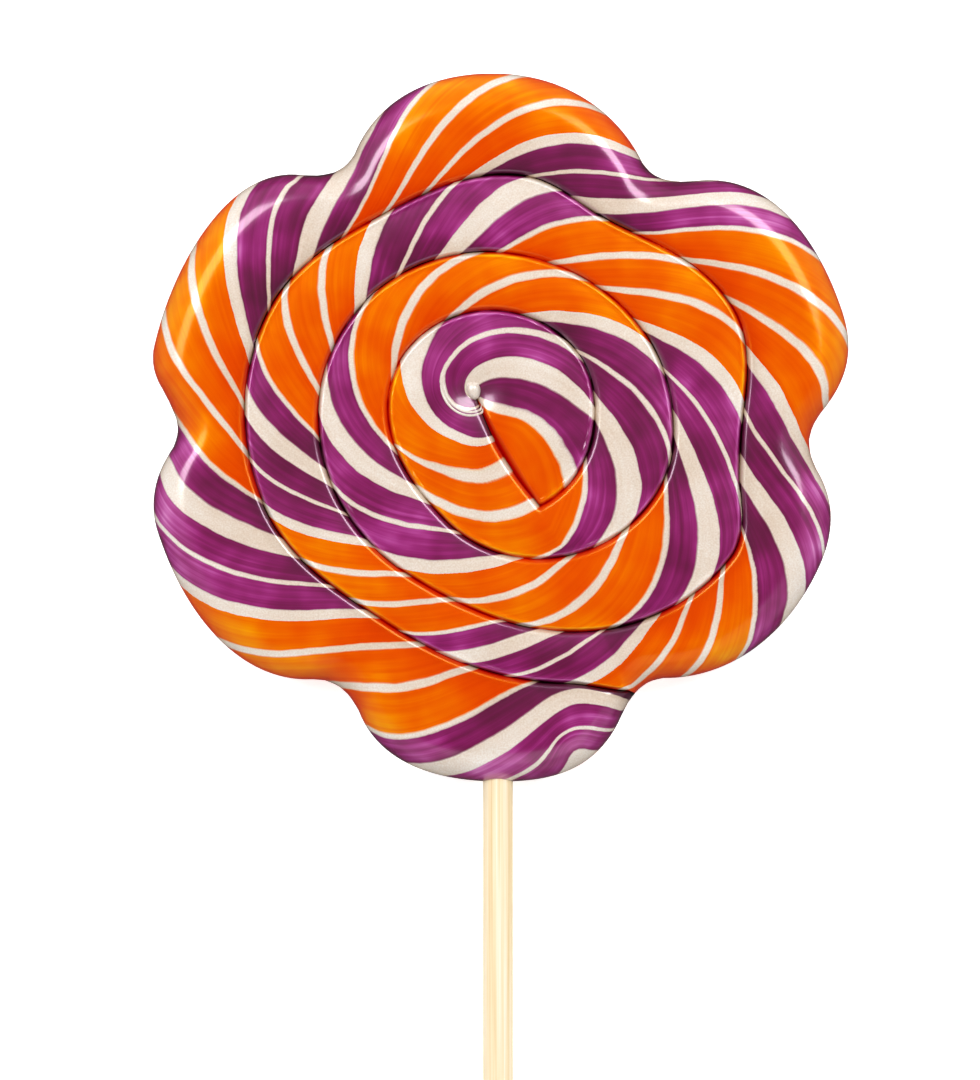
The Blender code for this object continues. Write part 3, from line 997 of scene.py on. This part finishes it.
# The hole that the stick made in the sugar
HOLE_SLACK = 0.02 * MM
HOLE_SIDES = 64
turn = np.arange(HOLE_SIDES) / HOLE_SIDES * math.tau
hole_radius = STICK_RADIUS + HOLE_SLACK
hole_x, hole_z = hole_radius * np.cos(turn), STICK_MIDDLE + hole_radius * np.sin(turn)
ring = np.stack((hole_x, 0 * turn, hole_z), -1)
ends = [ring + (0, y, 0) for y in (stick_high.y + HOLE_SLACK, candy_low.y - STICK_RADIUS)]
hole_mesh = bpy.data.meshes.new("stick_hole")
hole_faces = [tuple(range(HOLE_SIDES))[::-1], tuple(range(HOLE_SIDES, 2 * HOLE_SIDES))]
for side in range(HOLE_SIDES):
    following = (side + 1) % HOLE_SIDES
    hole_faces.append((side, following, following + HOLE_SIDES, side + HOLE_SIDES))
hole_mesh.from_pydata(np.concatenate(ends), [], hole_faces)
hole = bpy.data.objects.new("stick_hole", hole_mesh)
bpy.context.scene.collection.objects.link(hole)
cut = candy.modifiers.new("stick_hole", "BOOLEAN")
cut.operation = "DIFFERENCE"
cut.solver = "EXACT"
cut.object = hole
bpy.context.view_layer.update()
evaluated = candy.evaluated_get(bpy.context.evaluated_depsgraph_get())
candy.data = bpy.data.meshes.new_from_object(evaluated)
candy.modifiers.clear()
bpy.data.objects.remove(hole)

# The strand and the nub in the dimple are fused with the rest
fused = bmesh.new()
for mesh in (candy.data, *dimple_strands()):
    fused.from_mesh(mesh)
fused.to_mesh(candy.data)
fused.free()

# A pale matt board under soft boxes: two at the far corners, which draw the streaks on the rim's
# shoulders, and a wide and much weaker one near the stick, with an even light all round
BOARD_SIZE = 3.0
BOARD_GAP = 0.02 * MM
BOARD_COLOUR = "F8F8F8"
BOARD_GLOW = 0.72

# Each box's azimuth and elevation in degrees, its power in watts, and its width and length
LIGHTS = (
    ("far_left_box", 145, 56, 3.35, 0.40, 0.34),
    ("far_right_box", 42, 56, 3.35, 0.40, 0.34),
    ("near_box", 285, 45, 0.5, 0.60, 0.50),
)
LIGHT_DISTANCE = 0.8

# The room is lit all round, but dark right above, so that the flat face doesn't mirror it, and
# darker below the board
ROOM_STRENGTH = 0.43
CEILING_SHADE = 0.05
UNDERSIDE_SHADE = 0.15


def matt_board():
    """The board's material, which glows a little, so that shadows on it stay pale."""
    surface = bpy.data.materials.new("matt_painted_board")
    surface.use_nodes = True
    tree = surface.node_tree
    shader = tree.nodes["Principled BSDF"]
    shader.inputs["Base Color"].default_value = linear(BOARD_COLOUR)
    shader.inputs["Roughness"].default_value = 0.9
    shader.inputs["Specular IOR Level"].default_value = 0.1
    shader.inputs["Emission Color"].default_value = linear(BOARD_COLOUR)
    shader.inputs["Emission Strength"].default_value = BOARD_GLOW
    return surface


board_mesh = bpy.data.meshes.new("board")
half = BOARD_SIZE / 2
corners = [(-half, -half, 0), (half, -half, 0), (half, half, 0), (-half, half, 0)]
board_mesh.from_pydata(corners, [], [(0, 1, 2, 3)])
board_mesh.materials.append(matt_board())
board = bpy.data.objects.new("board", board_mesh)
board.location.z = candy_low.z - BOARD_GAP
bpy.context.scene.collection.objects.link(board)
board.visible_glossy = False

head_middle = (candy_low + candy_high) / 2
for name, azimuth, elevation, power, width, length in LIGHTS:
    light = bpy.data.lights.new(name, "AREA")
    light.shape = "RECTANGLE"
    light.size, light.size_y = width, length
    light.energy = power
    lamp = bpy.data.objects.new(name, light)
    flat, up = math.cos(math.radians(elevation)), math.sin(math.radians(elevation))
    side, away = math.cos(math.radians(azimuth)), math.sin(math.radians(azimuth))
    direction = Vector((flat * side, flat * away, up))
    lamp.location = head_middle + direction * LIGHT_DISTANCE
    lamp.rotation_euler = direction.to_track_quat("Z", "Y").to_euler()
    lamp.visible_camera = False
    bpy.context.scene.collection.objects.link(lamp)

room = bpy.data.worlds.new("studio")
room.use_nodes = True
room_tree = room.node_tree
upward = add_node(room_tree, "ShaderNodeTexCoord", {}, {}).outputs["Generated"]
upward = add_node(room_tree, "ShaderNodeSeparateXYZ", {}, {"Vector": upward})
ceiling = add_node(
    room_tree, "ShaderNodeMapRange",
    {"interpolation_type": "SMOOTHSTEP", "From Min": 0.75, "From Max": 1.0,
     "To Min": ROOM_STRENGTH, "To Max": CEILING_SHADE}, {"Value": upward.outputs["Z"]},
)
below = add_node(
    room_tree, "ShaderNodeMapRange",
    {"interpolation_type": "SMOOTHSTEP", "From Min": -0.25, "From Max": 0.15,
     "To Min": UNDERSIDE_SHADE, "To Max": 1.0}, {"Value": upward.outputs["Z"]},
)
strength = add_node(
    room_tree, "ShaderNodeMath",
    {"operation": "MULTIPLY"}, {0: ceiling.outputs[0], 1: below.outputs[0]},
)
room_tree.nodes["Background"].inputs["Color"].default_value = (1, 1, 1, 1)
room_tree.links.new(strength.outputs[0], room_tree.nodes["Background"].inputs["Strength"])
bpy.context.scene.world = room
bpy.context.scene.view_settings.view_transform = "Standard"

# The camera looks straight down through a long lens. The picture is 980 by 1080, and its middle
# lies a little to the left of the coil's middle and below it.
PICTURE_LENGTH = 144.0 * MM
VIEW_X, VIEW_Y = -1.07 * MM, -15.47 * MM
LENS, SENSOR = 250, 36

camera = bpy.data.objects.new("camera", bpy.data.cameras.new("camera"))
camera.data.lens = LENS
camera.data.sensor_width = SENSOR
distance = PICTURE_LENGTH * LENS / SENSOR
camera.location = (VIEW_X, VIEW_Y, RIM_HEIGHT + distance)
camera.data.clip_start, camera.data.clip_end = 0.01, 10
bpy.context.scene.collection.objects.link(camera)
bpy.context.scene.camera = camera
